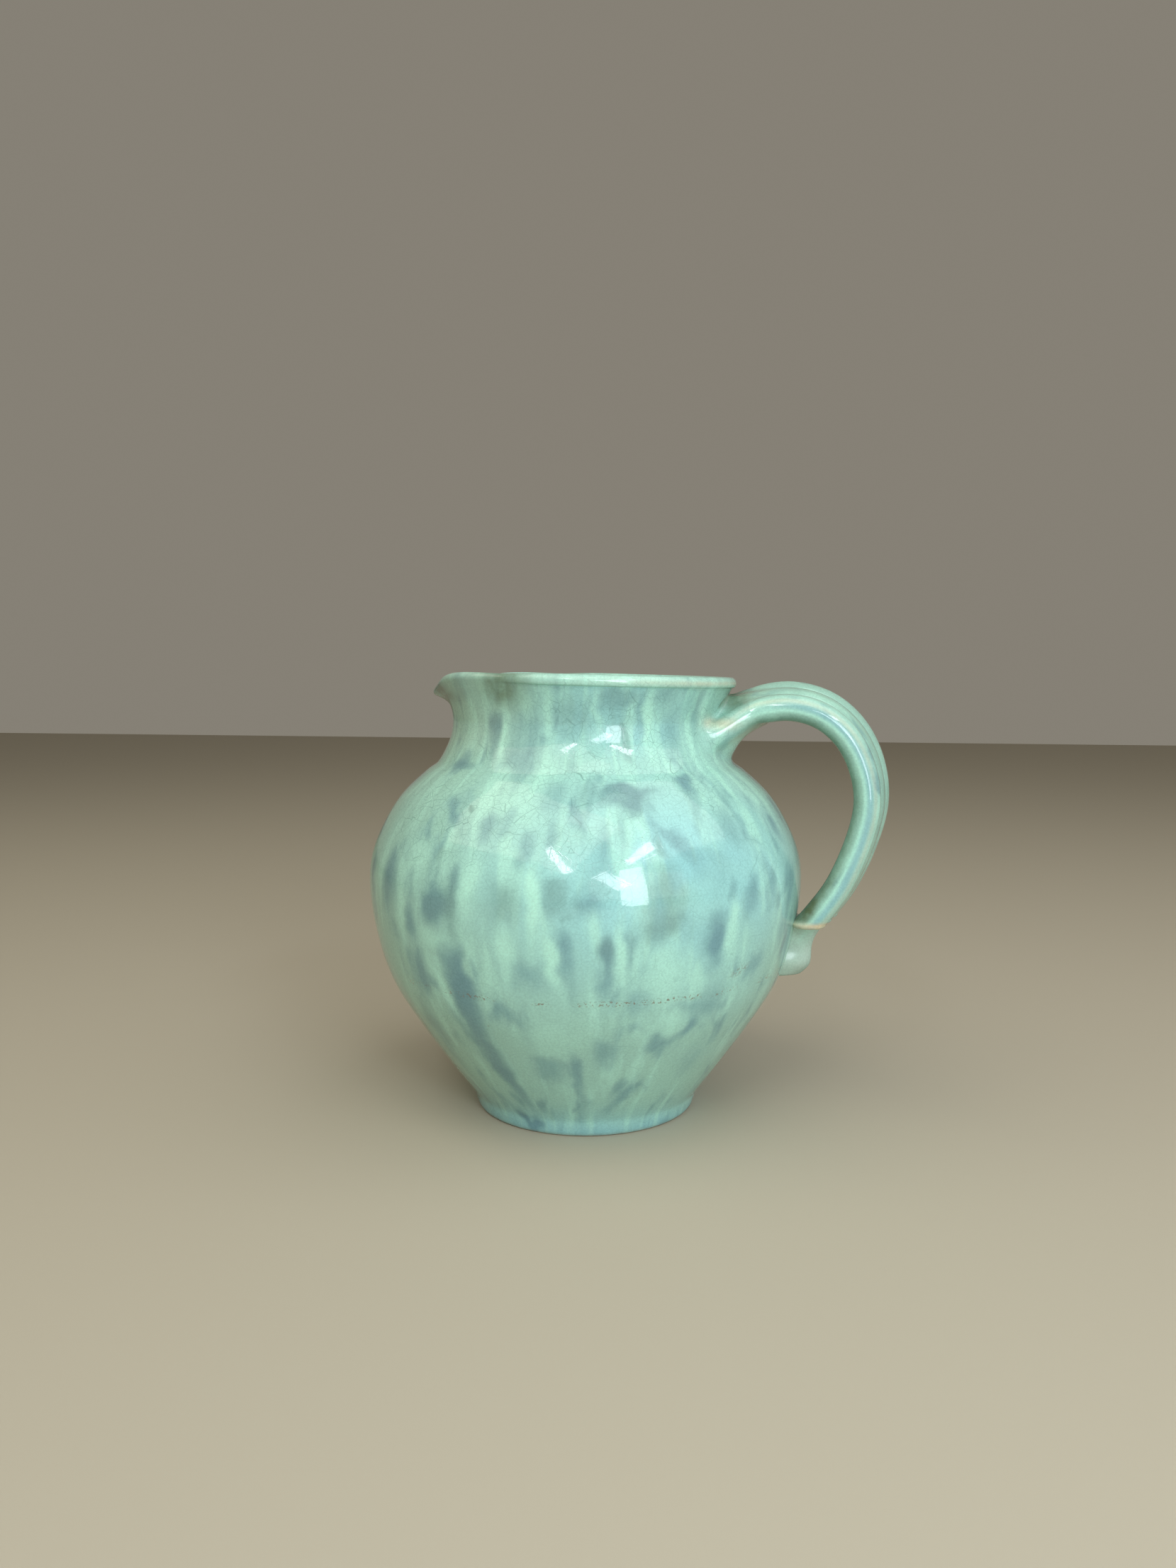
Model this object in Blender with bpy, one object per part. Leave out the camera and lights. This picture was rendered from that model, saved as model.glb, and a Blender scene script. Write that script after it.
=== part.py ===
"""Ceramic pitcher: a round-bellied pouring jug with a pinched lip and a three-strand handle.

Units are metres, +Z is up and the foot stands on z = 0. The handle points to +X and the lip to -X.
Lengths below are written in millimetres and turned into metres by the MM factor.
"""

import math

import bmesh
import bpy
from mathutils import Vector

MM = 0.001
GAP = 0.3 * MM  # clearance between neighbouring pieces

# Glazes
GREEN = (0.36, 0.62, 0.52)
PALE = (0.47, 0.72, 0.60)
BLUE = (0.36, 0.60, 0.60)

# Vessel
AXIS_X = -19.0 * MM  # the vessel's axis, so that the whole object is centred over the origin
SEGMENTS = 64
WALL = 6.0 * MM
CREASE_Z = 160.0 * MM
CREASE_RADIUS = 68.6 * MM
BELLY_OUTLINE = (  # radius, height, from the foot to the crease
    (54.2, 9.0),
    (62.8, 20.6),
    (77.2, 41.1),
    (89.7, 61.6),
    (96.6, 82.2),
    (99.9, 105.0),
    (97.5, 123.3),
    (86.8, 143.8),
    (73.6, 157.0),
    (68.6, 160.0),
)
NECK_OUTLINE = ((68.6, 160.3), (65.4, 165.5), (62.7, 171.5), (61.6, 176.0), (61.3, 180.0))
WAIST_RADIUS = 61.3 * MM
WAIST_Z = 180.0 * MM

# Foot and floor
FOOT_OUTLINE = ((50.0, 0.0), (51.0, 0.7), (51.6, 2.2), (52.5, 5.4), (54.0, 8.7))
FOOT_HEIGHT = 8.7 * MM
FOOT_INNER_RADIUS = 42.0 * MM
FLOOR_UNDERSIDE = 2.5 * MM
FLOOR_TOP = 9.0 * MM

# Mouth
RIM_RADIUS = 68.3 * MM
RIM_SHOULDER_Z = 197.1 * MM  # where the outer wall turns over into the rounded lip
RIM_RISE = 0.028  # the rim climbs towards the lip by this slope
RIM_BAND_HEIGHT = 1.1 * MM
RIM_BEAD = 0.9 * MM
FLARE_POWER = 1.3
LIP_HALF_ANGLE = 50.0
PINCH_ANGLE = 67.0
PINCH_SPREAD = 13.0
PINCH_DEPTH = 3.4 * MM
BEAK_SPREAD = 26.0
BEAK_DROP = 9.8 * MM
BEAK_REACH = 1.6 * MM
BEAK_FLARE_POWER = 3.0

# Handle
HANDLE_LINE = (  # distance from the vessel's axis, height, along the middle strand
    (50.0, 181.0),
    (64.0, 183.5),
    (77.0, 187.0),
    (94.0, 189.1),
    (109.2, 184.9),
    (120.8, 174.8),
    (128.0, 160.4),
    (130.2, 144.0),
    (126.5, 126.8),
    (118.7, 108.0),
    (109.2, 94.0),
    (98.0, 81.0),
    (90.0, 72.0),
)
STRAND_PITCH = 12.0 * MM
STRAND_HALF_THICKNESS = 5.9 * MM
STRAND_RINGS = 34
STRAND_SIDES = 16
TWIST_AT_TOP = 13.5
TWIST_AT_BOTTOM = 9.0
ROOT_SPREAD = 8.5 * MM
ROOT_DROP = 6.5 * MM
BOTTOM_SPREAD = 0.13
CUT_Z = 90.7 * MM

# Pads at the ends of the handle: height, distance of the face from the axis, half width
ROOT_PAD = (
    (162.0, 67.6, 11.0),
    (166.0, 69.2, 15.0),
    (169.5, 70.8, 18.5),
    (173.0, 74.0, 20.5),
    (176.5, 79.5, 19.6),
    (178.5, 85.0, 19.2),
)
TAIL = (
    (90.4, 112.6, 12.5),
    (87.5, 109.8, 11.4),
    (84.0, 107.8, 10.2),
    (80.0, 105.8, 9.1),
    (76.8, 104.9, 8.6),
)
KNOB = (
    (76.5, 104.5, 8.7),
    (74.0, 104.7, 9.4),
    (71.5, 104.4, 9.8),
    (69.0, 103.7, 9.6),
    (67.2, 102.2, 9.2),
    (66.5, 99.8, 9.8),
    (64.9, 99.0, 9.8),
)


def bell(angle, spread):
    """A smooth bump of height 1 at angle 0."""
    return math.exp(-((angle / spread) ** 2))


def smooth(value):
    """Ease a value from 0 to 1."""
    value = min(max(value, 0.0), 1.0)
    return value * value * (3.0 - 2.0 * value)


def curve(points, steps, scale=MM):
    """Points on the smooth line through the given points, as a Catmull-Rom curve."""
    ends = [points[0], *points, points[-1]]
    out = []
    for i in range(len(points) - 1):
        a, b, c, d = (Vector(p) for p in ends[i : i + 4])
        for k in range(steps):
            t = k / steps
            middle = (c - a) * t + (2 * a - 5 * b + 4 * c - d) * t**2
            out.append((b + 0.5 * (middle + (3 * b - a - 3 * c + d) * t**3)) * scale)
    out.append(Vector(points[-1]) * scale)
    return out


def inset(line, depth):
    """The same (radius, height) line moved inward by a wall thickness, square to itself."""
    out = []
    for i, point in enumerate(line):
        along = line[min(i + 1, len(line) - 1)] - line[max(i - 1, 0)]
        along.normalize()
        out.append(point - Vector((along.y, -along.x)) * depth)
    return out


def material(name, colour, roughness):
    """A glazed ceramic material."""
    made = bpy.data.materials.new(name)
    made.use_nodes = True
    shader = made.node_tree.nodes["Principled BSDF"]
    shader.inputs["Base Color"].default_value = (*colour, 1.0)
    shader.inputs["Roughness"].default_value = roughness
    shader.inputs["Metallic"].default_value = 0.0
    return made


def loft(name, sections, closed, colour, roughness=0.12):
    """One solid through a row of equal closed sections, ringed round or capped at both ends."""
    mesh_maker = bmesh.new()
    rows = [[mesh_maker.verts.new(point) for point in section] for section in sections]
    count = len(rows[0])
    for i in range(len(rows) if closed else len(rows) - 1):
        first, second = rows[i], rows[(i + 1) % len(rows)]
        for k in range(count):
            after = (k + 1) % count
            mesh_maker.faces.new((first[k], first[after], second[after], second[k]))
    if not closed:
        mesh_maker.faces.new(reversed(rows[0]))
        mesh_maker.faces.new(rows[-1])
    bmesh.ops.recalc_face_normals(mesh_maker, faces=mesh_maker.faces)
    mesh = bpy.data.meshes.new(name)
    mesh_maker.to_mesh(mesh)
    mesh_maker.free()
    mesh.shade_smooth()
    mesh.set_sharp_from_angle(angle=math.radians(40.0))
    made = bpy.data.objects.new(name, mesh)
    bpy.context.collection.objects.link(made)
    mesh.materials.append(material(name + "_glaze", colour, roughness))
    return made


def around(radius, height, degrees):
    """A point given by its distance from the vessel's axis, its height and its direction."""
    turn = math.radians(degrees)
    return Vector((AXIS_X + radius * math.cos(turn), radius * math.sin(turn), height))


def turned(name, section_at, colour, start=0.0, sweep=360.0, segments=SEGMENTS):
    """A ring, or an arc of one, whose (radius, height) section may change with direction."""
    full = sweep >= 360.0
    count = segments if full else segments + 1
    sections = []
    for i in range(count):
        degrees = start + sweep * i / segments
        sections.append([around(p[0], p[1], degrees) for p in section_at(degrees)])
    return loft(name, sections, full, colour)


def disc(name, stations, colour):
    """A solid of revolution standing on the vessel's axis, from (radius, height) stations."""
    turns = [360.0 * k / SEGMENTS for k in range(SEGMENTS)]
    sections = [[around(r, z, degrees) for degrees in turns] for r, z in stations]
    return loft(name, sections, False, colour)


def from_lip(degrees):
    """The angle between a direction and the pouring lip's, from 0 to 180."""
    return abs(degrees % 360.0 - 180.0)


def mouth_line(degrees, bead):
    """The outer wall from the waist to the rim, in one direction."""
    off = from_lip(degrees)
    beak = bell(off, BEAK_SPREAD)
    pinch = bell(off - PINCH_ANGLE, PINCH_SPREAD)
    bead *= smooth((off - 62.0) / 24.0)
    radius = RIM_RADIUS + bead + BEAK_REACH * beak - PINCH_DEPTH * pinch
    rise = -RIM_RISE * RIM_RADIUS * math.cos(math.radians(degrees))
    top = RIM_SHOULDER_Z + rise - BEAK_DROP * beak
    power = FLARE_POWER + (BEAK_FLARE_POWER - FLARE_POWER) * bell(off, 30.0)
    return radius, top, power


def mouth_wall(degrees, low, high, steps, bead=0.0):
    """Part of that wall between two shares of its height."""
    radius, top, power = mouth_line(degrees, bead)
    out = []
    for i in range(steps + 1):
        share = low + (high - low) * i / steps
        reach = (radius - WAIST_RADIUS) * share**power
        out.append(Vector((WAIST_RADIUS + reach, WAIST_Z + (top - WAIST_Z) * share)))
    return out


def band_share(degrees):
    """Where the rim band starts, as a share of the height from waist to rim."""
    top = mouth_line(degrees, 0.0)[1]
    return 1.0 - RIM_BAND_HEIGHT / (top - WAIST_Z)


def neck_section(degrees):
    share = band_share(degrees)
    outer = curve(NECK_OUTLINE, 2)[:-1]
    outer += mouth_wall(degrees, 0.0, share, 5)
    inner = inset(outer, WALL)[2:]
    inner.insert(0, Vector((CREASE_RADIUS - WALL, outer[0].y)))
    return outer + inner[::-1]


def rim_section(degrees):
    """The rounded lip above the neck, as wide as the wall and with the bead outside."""
    top = mouth_line(degrees, 0.0)[1]
    share = band_share(degrees) + GAP / (top - WAIST_Z)
    plain = mouth_wall(degrees, share, 1.0, 3)
    outer = mouth_wall(degrees, share, 1.0, 3, RIM_BEAD)
    inner = inset(plain, WALL)
    middle = (outer[-1] + inner[-1]) / 2
    arm = outer[-1] - middle
    cap = []
    for k in range(1, 6):
        turn = math.pi * k / 6
        across = Vector((-arm.y, arm.x))
        cap.append(middle + arm * math.cos(turn) + across * math.sin(turn))
    return outer + cap + inner[::-1]


def belly_section(degrees):
    outer = curve(BELLY_OUTLINE, 2)
    inner = inset(outer, WALL)[:-2]
    inner.append(Vector((CREASE_RADIUS - WALL, outer[-1].y)))
    floor_line = [Vector((FOOT_INNER_RADIUS + 1 * MM, FLOOR_TOP)), Vector((52.0, 11.8)) * MM]
    return outer + inner[:1:-1] + floor_line[::-1]


def foot_section(degrees):
    outer = [Vector(point) * MM for point in FOOT_OUTLINE]
    top = Vector((FOOT_INNER_RADIUS, FOOT_HEIGHT))
    inside = [Vector((FOOT_INNER_RADIUS, 1.2 * MM)), Vector((FOOT_INNER_RADIUS + 1.2 * MM, 0.0))]
    return [*outer, top, *inside]


def strand_frames():
    """Points along the handle, each with its direction, outward normal and share of the length."""
    line = curve(HANDLE_LINE, 12)
    lengths = [0.0]
    for a, b in zip(line, line[1:], strict=False):
        lengths.append(lengths[-1] + (b - a).length)
    out = []
    at = 0
    for i in range(STRAND_RINGS + 1):
        want = lengths[-1] * i / STRAND_RINGS
        while at < len(line) - 2 and lengths[at + 1] < want:
            at += 1
        part = (want - lengths[at]) / (lengths[at + 1] - lengths[at])
        point = line[at].lerp(line[at + 1], part)
        along = line[min(at + 2, len(line) - 1)] - line[max(at - 1, 0)]
        along.normalize()
        out.append((point, Vector((-along.y, along.x)), i / STRAND_RINGS))
    return out


def strand_outline(side, half_width, half_thickness):
    """A strand's section: crowned faces, flat where it meets a neighbour, round where it is free."""
    out = []
    for k in range(STRAND_SIDES):
        turn = 2.0 * math.pi * (k + 0.5) / STRAND_SIDES
        across, up = math.cos(turn), math.sin(turn)
        free = side * across > 0.0
        if not free:
            square = max(abs(across), abs(up)) ** 0.55
            across, up = across / square, up / square
            across = max(min(across, 1.0), -1.0)
        out.append((across * half_width, up * half_thickness))
    return out


def strand(name, side, colour, grow=0.0):
    """One strand of the handle: side -1 is the near one, 0 the middle one and 1 the far one."""
    sections = []
    for point, normal, share in strand_frames():
        twist = TWIST_AT_TOP + (TWIST_AT_BOTTOM - TWIST_AT_TOP) * smooth((share - 0.2) / 0.8)
        lean = math.radians(twist)
        pitch = STRAND_PITCH * (1.0 + BOTTOM_SPREAD * smooth((share - 0.6) / 0.3))
        root = smooth(1.0 - share / 0.17)
        shift = side * (pitch + ROOT_SPREAD * root)
        drop = ROOT_DROP * root * abs(side)
        outline = strand_outline(side, pitch / 2 - GAP / 2 + grow, STRAND_HALF_THICKNESS + grow)
        section = []
        for across, up in outline:
            sideways = shift + across
            out = up * math.cos(lean) + sideways * math.sin(lean)
            wide = sideways * math.cos(lean) - up * math.sin(lean)
            spot = point + normal * out
            section.append(Vector((AXIS_X + spot.x, wide, spot.y - drop)))
        sections.append(section)
    return loft(name, sections, False, colour)


def pad(name, stations, root, colour, sides=18):
    """A pad on the vessel's wall, from (height, face distance, half width) stations."""
    sections = []
    for height, face, half in stations:
        section = []
        for k in range(sides + 1):
            turn = math.pi * (k / sides - 0.5)
            bulge = math.copysign(abs(math.cos(turn)) ** 0.8, math.cos(turn))
            reach = root + (face * MM - root) * bulge
            section.append(Vector((AXIS_X + reach, half * MM * math.sin(turn), height * MM)))
        sections.append(section)
    return loft(name, sections, False, colour)


def vessel_cutter():
    """The outside of the vessel, grown by the gap, to trim what is pressed against it."""
    line = curve(BELLY_OUTLINE, 2)
    line += curve(NECK_OUTLINE, 2)[1:-1]
    line += mouth_wall(0.0, 0.0, band_share(0.0), 5)
    return disc("vessel_cutter", [(p.x + GAP, p.y) for p in line], GREEN)


def hide(cutter):
    cutter.hide_render = True
    cutter.display_type = "WIRE"
    return cutter


def cut(target, cutter):
    step = target.modifiers.new("Cut_" + cutter.name, "BOOLEAN")
    step.operation = "DIFFERENCE"
    step.solver = "EXACT"
    step.object = cutter


for old in list(bpy.data.objects):
    bpy.data.objects.remove(old, do_unlink=True)

turned("foot_ring", foot_section, BLUE)
slab_radius = FOOT_INNER_RADIUS - GAP
disc("floor_slab", [(slab_radius, FLOOR_UNDERSIDE), (slab_radius, FLOOR_TOP)], GREEN)
turned("belly_wall", belly_section, GREEN)
turned("neck_collar", neck_section, GREEN)
rim_start = -180.0 + LIP_HALF_ANGLE + 0.3
turned("rim_band", rim_section, PALE, rim_start, 360.0 - 2 * LIP_HALF_ANGLE - 0.6, 46)
turned("pour_lip", rim_section, GREEN, 180.0 - LIP_HALF_ANGLE, 2 * LIP_HALF_ANGLE, 22)

body = hide(vessel_cutter())
near_end, far_end, side_end = AXIS_X + 70 * MM, AXIS_X + 150 * MM, 40 * MM
below = (
    (near_end, -side_end),
    (far_end, -side_end),
    (far_end, side_end),
    (near_end, side_end),
)
levels = [[Vector((x, y, z)) for x, y in below] for z in (40 * MM, CUT_Z)]
end_cutter = hide(loft("handle_end_cutter", levels, False, GREEN))

strands = (("handle_coil_near", -1), ("handle_coil_mid", 0), ("handle_coil_far", 1))
grown = []
for strand_name, strand_side in strands:
    made_strand = strand(strand_name, strand_side, BLUE if strand_side else GREEN)
    cut(made_strand, body)
    cut(made_strand, end_cutter)
    grown.append(hide(strand(strand_name + "_cutter", strand_side, GREEN, GAP)))

root_pad = pad("handle_root_pad", ROOT_PAD, 52.0 * MM, PALE)
cut(root_pad, body)
for grown_strand in grown:
    cut(root_pad, grown_strand)
cut(pad("handle_tail", TAIL, 84.0 * MM, PALE), body)
cut(pad("tail_knob", KNOB, 80.0 * MM, PALE), body)
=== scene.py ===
"""A glazed ceramic pitcher in a plain studio: fine surfaces over the CAD frame's pieces.

Lengths are in metres unless a comment or a name says mm. The handle points to +X and the pouring lip to -X.
The vessel's outline, the handle's line and the places of the glaze marks were measured in a photo.
"""

import math

import bmesh
import bpy
import numpy as np
from mathutils import Matrix, Vector


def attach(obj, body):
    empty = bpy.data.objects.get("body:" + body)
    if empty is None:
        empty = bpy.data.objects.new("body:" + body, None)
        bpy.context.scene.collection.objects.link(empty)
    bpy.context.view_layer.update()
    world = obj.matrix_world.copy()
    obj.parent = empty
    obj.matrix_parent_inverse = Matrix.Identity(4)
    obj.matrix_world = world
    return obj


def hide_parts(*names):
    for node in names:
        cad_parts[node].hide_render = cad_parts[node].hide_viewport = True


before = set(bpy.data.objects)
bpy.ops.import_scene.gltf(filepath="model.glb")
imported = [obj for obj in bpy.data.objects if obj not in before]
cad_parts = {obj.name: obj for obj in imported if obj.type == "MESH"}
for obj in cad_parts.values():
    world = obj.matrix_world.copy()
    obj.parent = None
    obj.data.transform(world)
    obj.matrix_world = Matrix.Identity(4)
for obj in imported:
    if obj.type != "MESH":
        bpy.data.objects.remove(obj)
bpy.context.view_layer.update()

MM = 0.001

# ---------------------------------------------------------------- dimensions These follow the CAD's, with
# small changes at the rim, beak, strands, root pad, tail and knob.
AXIS_X = -19.0 * MM
INSIDE_CAD = 0.9995  # keeps the smooth curves inside the coarser CAD pieces
WALL = 6.0 * MM
RIM_WALL = 4.8 * MM
BEAK_THINNING = 1.6 * MM
OUTLINE = (  # radius, height in mm, from the edge of the foot to the crease
    (50.0, 0.0),
    (51.0, 0.7),
    (51.6, 2.2),
    (52.5, 5.4),
    (54.2, 9.0),
    (62.8, 20.6),
    (77.2, 41.1),
    (89.7, 61.6),
    (96.6, 82.2),
    (99.9, 105.0),
    (97.5, 123.3),
    (86.8, 143.8),
    (73.6, 157.0),
    (68.6, 160.1),
)
NECK_OUTLINE = ((68.6, 160.1), (65.4, 165.5), (62.7, 171.5), (61.6, 176.0), (61.3, 180.0))
CREASE_Z = 160.1 * MM
FOOT_TOP_IN_MM = 8.85
FOOT_TOP = FOOT_TOP_IN_MM * MM
INNER_RADIUS_IN_MM = 42.0  # inside the foot ring, and the edge of the floor
FLOOR_UNDERSIDE_IN_MM = 2.5
FLOOR_TOP_IN_MM = 9.0
WAIST_RADIUS = 61.3 * MM
WAIST_Z = 180.0 * MM
RIM_RADIUS = 68.3 * MM
RIM_SHOULDER_Z = 197.7 * MM
RIM_RISE = 0.028
RIM_BAND_HEIGHT = 1.1 * MM
RIM_BEAD = 0.9 * MM
FLARE_POWER = 1.3
LIP_HALF_ANGLE = 50.0
PINCH_ANGLE = 67.0
PINCH_SPREAD = 13.0
PINCH_DEPTH = 3.4 * MM
BEAK_SPREAD = 27.0
BEAK_DROP = 8.7 * MM
LIP_NARROWING = 1.8 * MM
NOSE_SPREAD = 14.0
NOSE_REACH = 4.9 * MM
BEAK_FLARE_POWER = 3.0
HANDLE_LINE = (  # distance from the vessel's axis, height in mm
    (50.0, 181.0),
    (64.0, 183.5),
    (77.0, 187.0),
    (94.0, 189.1),
    (109.2, 184.9),
    (120.8, 174.8),
    (128.0, 160.4),
    (130.2, 144.0),
    (126.5, 126.8),
    (118.7, 108.0),
    (109.2, 94.0),
    (98.0, 81.0),
    (90.0, 72.0),
)
STRAND_PITCH = 12.0 * MM
STRAND_HALF_THICKNESS = 5.86 * MM
TWIST_AT_TOP = 13.5  # degrees
TWIST_AT_BOTTOM = 9.0
ROOT_SPREAD = 8.5 * MM
ROOT_DROP = 6.5 * MM
BOTTOM_SPREAD = 0.13
CUT_Z = 90.7 * MM
TAIL = (  # height, distance of the face from the axis, half width, in mm
    (90.5, 113.2, 12.0),
    (87.5, 110.3, 11.0),
    (84.0, 107.8, 9.8),
    (80.0, 105.9, 8.8),
    (76.6, 105.2, 8.4),
    (74.0, 105.2, 8.2),
)
KNOB = (  # the same for the knob
    (79.0, 102.0, 8.0),
    (76.6, 105.0, 9.2),
    (74.0, 105.3, 10.2),
    (71.5, 105.1, 10.6),
    (69.0, 104.6, 10.4),
    (67.4, 103.2, 10.0),
    (66.0, 101.6, 10.2),
    (64.6, 100.6, 10.4),
)

# ---------------------------------------------------------------- small helpers


def spline(points, steps):
    """Points on the Catmull-Rom line through the given ones."""
    p = np.array(points, float)
    p = np.vstack([p[:1], p, p[-1:]])
    t = (np.arange(steps) / steps)[:, None]
    rows = []
    for a, b, c, d in zip(p, p[1:], p[2:], p[3:], strict=False):
        bend = (2 * a - 5 * b + 4 * c - d) * t**2 + (3 * b - a - 3 * c + d) * t**3
        rows.append(b + 0.5 * ((c - a) * t + bend))
    rows.append(p[-1:])
    return np.vstack(rows)


def even(line, spacing):
    """The same line with its points evenly spaced along it."""
    step = np.linalg.norm(np.diff(line, axis=0), axis=1)
    along = np.concatenate([[0.0], np.cumsum(step)])
    count = max(int(round(along[-1] / spacing)), 2)
    want = np.linspace(0.0, along[-1], count + 1)
    return np.stack([np.interp(want, along, line[:, k]) for k in range(line.shape[1])], axis=1)


def smooth(value, low=0.0, high=1.0):
    t = np.clip((np.asarray(value, float) - low) / (high - low), 0.0, 1.0)
    return t * t * (3.0 - 2.0 * t)


def bell(value, spread):
    return np.exp(-((np.asarray(value, float) / spread) ** 2))


def unit(v):
    return v / np.maximum(np.linalg.norm(v, axis=-1, keepdims=True), 1e-12)


def make_mesh(name, grid, wrap_rows, wrap_columns, caps=False):
    """An object from a grid of points, with its rows or columns joined round into rings."""
    rows, columns = grid.shape[:2]
    at = np.arange(rows * columns).reshape(rows, columns)
    r = np.arange(rows if wrap_rows else rows - 1)
    c = np.arange(columns if wrap_columns else columns - 1)
    r, c = (k.ravel() for k in np.meshgrid(r, c, indexing="ij"))
    r2, c2 = (r + 1) % rows, (c + 1) % columns
    faces = np.stack([at[r, c], at[r, c2], at[r2, c2], at[r2, c]], axis=1).tolist()
    if caps:
        faces += [at[0].tolist(), at[-1][::-1].tolist()]
    mesh = bpy.data.meshes.new(name)
    mesh.from_pydata(grid.reshape(-1, 3).tolist(), [], faces)
    mesh.validate()
    mesh.update()
    if signed_volume(mesh) < 0.0:
        mesh.flip_normals()
    mesh.shade_smooth()
    mesh.set_sharp_from_angle(angle=math.radians(42.0))
    made = bpy.data.objects.new(name, mesh)
    bpy.context.collection.objects.link(made)
    return made


def signed_volume(mesh):
    mesh.calc_loop_triangles()
    p = np.empty(len(mesh.vertices) * 3)
    mesh.vertices.foreach_get("co", p)
    p = p.reshape(-1, 3)
    t = np.empty(len(mesh.loop_triangles) * 3, int)
    mesh.loop_triangles.foreach_get("vertices", t)
    a, b, c = (p[t.reshape(-1, 3)[:, k]] for k in range(3))
    return float(np.einsum("ij,ij->i", a, np.cross(b, c)).sum() / 6.0)


# ---------------------------------------------------------------- the vessel
TURNS = 384
NECK_STEPS = 26
BAND_STEPS = 4
CAP_STEPS = 14
LINE_SPACING = 1.3 * MM
THINNING_FROM, THINNING_TO = 176.0 * MM, 190.0 * MM  # the wall thins over these heights


def vessel_line():
    """The outer wall from the foot's edge to the waist, evenly spaced, with a softened crease."""
    belly = spline(OUTLINE, 12) * (INSIDE_CAD, 1.0)
    neck = spline(NECK_OUTLINE, 12)
    line = even(np.vstack([belly, neck[1:]]) * MM, LINE_SPACING)
    soft = line.copy()
    for _ in range(3):
        soft[1:-1] = (soft[:-2] + 2.0 * soft[1:-1] + soft[2:]) / 4.0
    near = bell(line[:, 1] - CREASE_Z, 5.0 * MM)[:, None]
    return line + (soft - line) * near


def mouth_line(degrees):
    """Radius, height, flare and bead of the outer wall where the lip turns over."""
    off = np.abs(degrees - 180.0)
    beak = bell(off, BEAK_SPREAD)
    pinch = bell(off - PINCH_ANGLE, PINCH_SPREAD)
    bead = RIM_BEAD * smooth((off - 62.0) / 24.0)
    nose = NOSE_REACH * bell(off, NOSE_SPREAD) - LIP_NARROWING * bell(off, 38.0)
    radius = RIM_RADIUS + nose - PINCH_DEPTH * pinch
    rise = -RIM_RISE * RIM_RADIUS * np.cos(np.radians(degrees))
    top = RIM_SHOULDER_Z + rise - BEAK_DROP * beak
    power = FLARE_POWER + (BEAK_FLARE_POWER - FLARE_POWER) * bell(off, 30.0)
    return radius, top, power, bead


def vessel_walls():
    """Outer and inner walls as (direction, station, radius and height), and where they divide."""
    degrees = np.arange(TURNS) * 360.0 / TURNS
    lower = vessel_line()
    radius, top, power, bead = mouth_line(degrees)
    height = top - WAIST_Z
    band = 1.0 - RIM_BAND_HEIGHT / height
    below = np.linspace(0.0, 1.0, NECK_STEPS + 1)[1:, None] * band
    above = band + np.linspace(0.0, 1.0, BAND_STEPS + 1)[1:, None] * (1.0 - band)
    share = np.vstack([below, above]).T
    mouth_r = WAIST_RADIUS + (radius[:, None] - WAIST_RADIUS) * share ** power[:, None]
    mouth_z = WAIST_Z + height[:, None] * share
    flat = np.broadcast_to(lower, (TURNS, *lower.shape))
    outer = np.concatenate([flat, np.stack([mouth_r, mouth_z], axis=2)], axis=1)
    foot = int(np.argmin(np.abs(lower[:, 1] - FOOT_TOP)))
    crease = int(np.argmin(np.abs(lower[:, 1] - CREASE_Z)))
    rim = len(lower) - 1 + NECK_STEPS
    along = unit(np.gradient(outer, axis=1))
    for _ in range(6):
        along[:, 1:-1] = unit(along[:, :-2] + 2 * along[:, 1:-1] + along[:, 2:])
    out = np.stack([along[..., 1], -along[..., 0]], axis=2)
    edge = RIM_WALL - BEAK_THINNING * bell(degrees - 180.0, 24.0)[:, None, None]
    thinner = smooth(outer[..., 1], THINNING_FROM, THINNING_TO)[..., None]
    inner = outer - out * (WALL + (edge - WALL) * thinner)
    below_top = np.maximum(top[:, None] - outer[..., 1], 0.0)
    grow = smooth(below_top, 1.5 * MM, 0.1 * MM) * bead[:, None]
    outer = outer + out * grow[..., None]
    return degrees, outer, inner, foot, crease, rim


def revolve(degrees, section):
    """A section per direction, as points in space."""
    turn = np.radians(degrees)[:, None]
    x = AXIS_X + section[..., 0] * np.cos(turn)
    return np.stack([x, section[..., 0] * np.sin(turn), section[..., 1]], axis=2)


DEGREES, OUTER, INNER, FOOT, CREASE, RIM = vessel_walls()


def fixed(*points):
    """The same (radius, height) points, in mm, in every direction."""
    return np.broadcast_to(np.array(points, float) * MM, (TURNS, len(points), 2))


def ring(name, *walls):
    """A closed ring whose section is made of these walls, one after another."""
    section = np.concatenate(walls, axis=1)
    return make_mesh(name, revolve(DEGREES, section), True, True)


def build_foot():
    """The ring that the pitcher stands on, up to the belly."""
    inside = INNER_RADIUS_IN_MM
    under = fixed((50.0, 0.0), (49.0, 0.0), (46.6, 0.0), (44.2, 0.0), (43.2, 0.0))
    rounded = ((42.7, 0.15), (42.3, 0.5), (inside, 1.2))
    face = fixed(*rounded, (inside, 5.0), (inside, FOOT_TOP_IN_MM))
    return ring("foot_ring_glazed", under[:, ::-1], OUTER[:, 1 : FOOT + 1], face[:, ::-1])


def build_belly():
    """The wall from the foot to the crease, with a rounded corner where it meets the floor."""
    inside = INNER_RADIUS_IN_MM
    meeting = ((inside, FOOT_TOP_IN_MM), (inside, FLOOR_TOP_IN_MM))
    corner = fixed(*meeting, (44.5, 9.15), (46.8, 9.8), (48.6, 11.0))
    lining = INNER[:, FOOT + 3 : CREASE + 1][:, ::-2]
    return ring("belly_wall_glazed", OUTER[:, FOOT : CREASE + 1], lining, corner[:, ::-1])


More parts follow.
